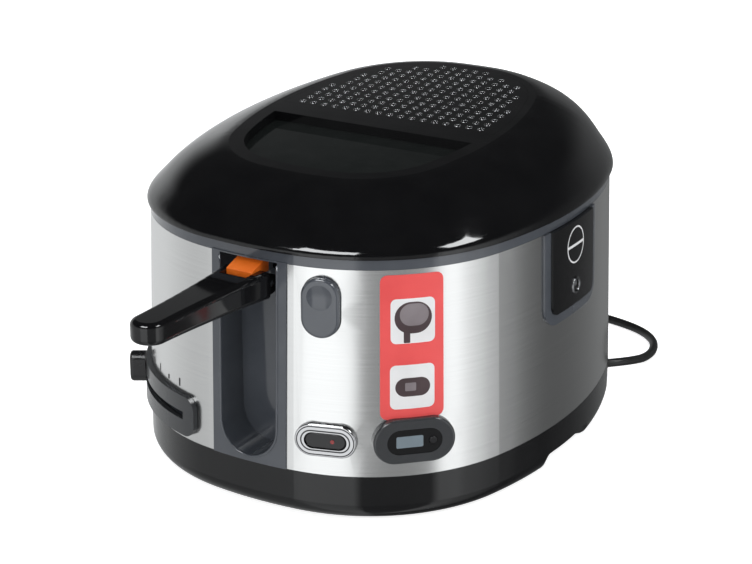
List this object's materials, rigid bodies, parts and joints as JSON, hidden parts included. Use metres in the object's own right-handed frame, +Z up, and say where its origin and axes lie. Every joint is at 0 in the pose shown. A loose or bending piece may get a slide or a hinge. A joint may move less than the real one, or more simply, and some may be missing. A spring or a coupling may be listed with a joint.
{
  "type": "deep fryer",
  "caption": "Oval electric deep fryer with a domed hinged lid, viewing window, lift-out basket, folding front handle, sliding thermostat and timer.",
  "frame": {"origin": "middle of the footprint from handle tip to hinge, on the table under the feet", "axes": "+X to the fryer's right as seen from the front, -Y towards its handle, +Z up"},
  "size_m": [0.3186, 0.6194, 0.252],
  "materials": {
    "black_plastic": "glossy black moulding",
    "slate_plastic": "dark slate grey moulding",
    "steel": "stainless, brushed round the body",
    "bright_steel": "bright plated steel",
    "orange_plastic": "orange catch",
    "grey_plastic": "mid grey moulding",
    "dark_plastic": "near-black control plastic",
    "glass": "clear window",
    "rubber": "soft black rubber",
    "aluminium": "cast spreader",
    "felt": "filter felt",
    "lamp": "red lamp lens",
    "display": "pale display",
    "cord": "black sheath"
  },
  "bodies": {
    "housing": {"base_tray": "black_plastic", "rubber_feet": "rubber", "base_screws": "bright_steel", "steel_wrap": "steel", "body_shell": "slate_plastic", "panel_frame_right": "slate_plastic", "panel_frame_left": "slate_plastic", "side_panel_right": "black_plastic", "side_panel_left": "black_plastic", "panel_screw_right": "bright_steel", "panel_screw_left": "bright_steel", "oil_bowl": "steel", "heat_plate": "aluminium", "heating_element": "steel", "bowl_supports": "steel", "thermal_fuse": "grey_plastic", "thermostat_bulb": "bright_steel", "terminal_block": "grey_plastic", "basket_mesh": "bright_steel", "basket_bracket": "bright_steel", "pivot_pin": "bright_steel", "hinge_bracket": "slate_plastic", "hinge_pin": "bright_steel", "button_guide": "slate_plastic", "switch_bezel": "bright_steel", "switch_body": "dark_plastic", "timer_bezel": "grey_plastic", "timer_face": "black_plastic", "timer_display": "display", "timer_board": "grey_plastic", "slider_bezel": "grey_plastic", "thermostat_body": "dark_plastic", "strain_relief": "cord", "mains_lead": "cord", "lead_coil": "cord", "lead_tail": "cord", "coil_tie": "rubber", "plug_body": "cord", "plug_pins": "bright_steel"},
    "lid": {"lid_shell": "black_plastic", "lid_window": "glass", "vent_grille": "black_plastic", "filter_pad": "felt", "lid_liner": "steel", "lid_seal": "rubber", "lid_hinge_arm": "black_plastic"},
    "handle": {"handle_grip": "black_plastic"},
    "handle_catch": {"handle_latch": "orange_plastic"},
    "release": {"release_button": "slate_plastic"},
    "rocker": {"switch_rocker": "dark_plastic", "pilot_lamp": "lamp"},
    "timer_key": {"timer_button": "dark_plastic"},
    "knob": {"temperature_knob": "dark_plastic"}
  },
  "joints": [
    {"name": "lid_hinge", "type": "hinge", "parent": "housing", "child": "lid", "pos_m": [0, 0.25075, 0.191], "axis": [-1, 0, 0], "range_deg": [0, 80]},
    {"name": "handle_fold", "type": "hinge", "parent": "housing", "child": "handle", "pos_m": [0, -0.12825, 0.17], "axis": [1, 0, 0], "range_deg": [0, 80]},
    {"name": "catch_slide", "type": "slide", "parent": "handle", "child": "handle_catch", "axis": [0, -1, 0], "range_m": [0, 0.008], "stiffness_N_per_m": 150},
    {"name": "release_push", "type": "slide", "parent": "housing", "child": "release", "axis": [-0.2756, 0.9613, 0], "range_m": [0, 0.004], "stiffness_N_per_m": 400},
    {"name": "power_rock", "type": "hinge", "parent": "housing", "child": "rocker", "pos_m": [0.0592, -0.13002, 0.0645], "axis": [0, 0, 1], "range_deg": [-6, 6]},
    {"name": "timer_push", "type": "slide", "parent": "housing", "child": "timer_key", "axis": [-0.6947, 0.7193, 0], "range_m": [0, 0.0012], "stiffness_N_per_m": 400},
    {"name": "temperature_slide", "type": "hinge", "parent": "housing", "child": "knob", "pos_m": [-0.0198, -0.00505, 0.057], "axis": [0, 0, 1], "range_deg": [-6, 40]}
  ]
}
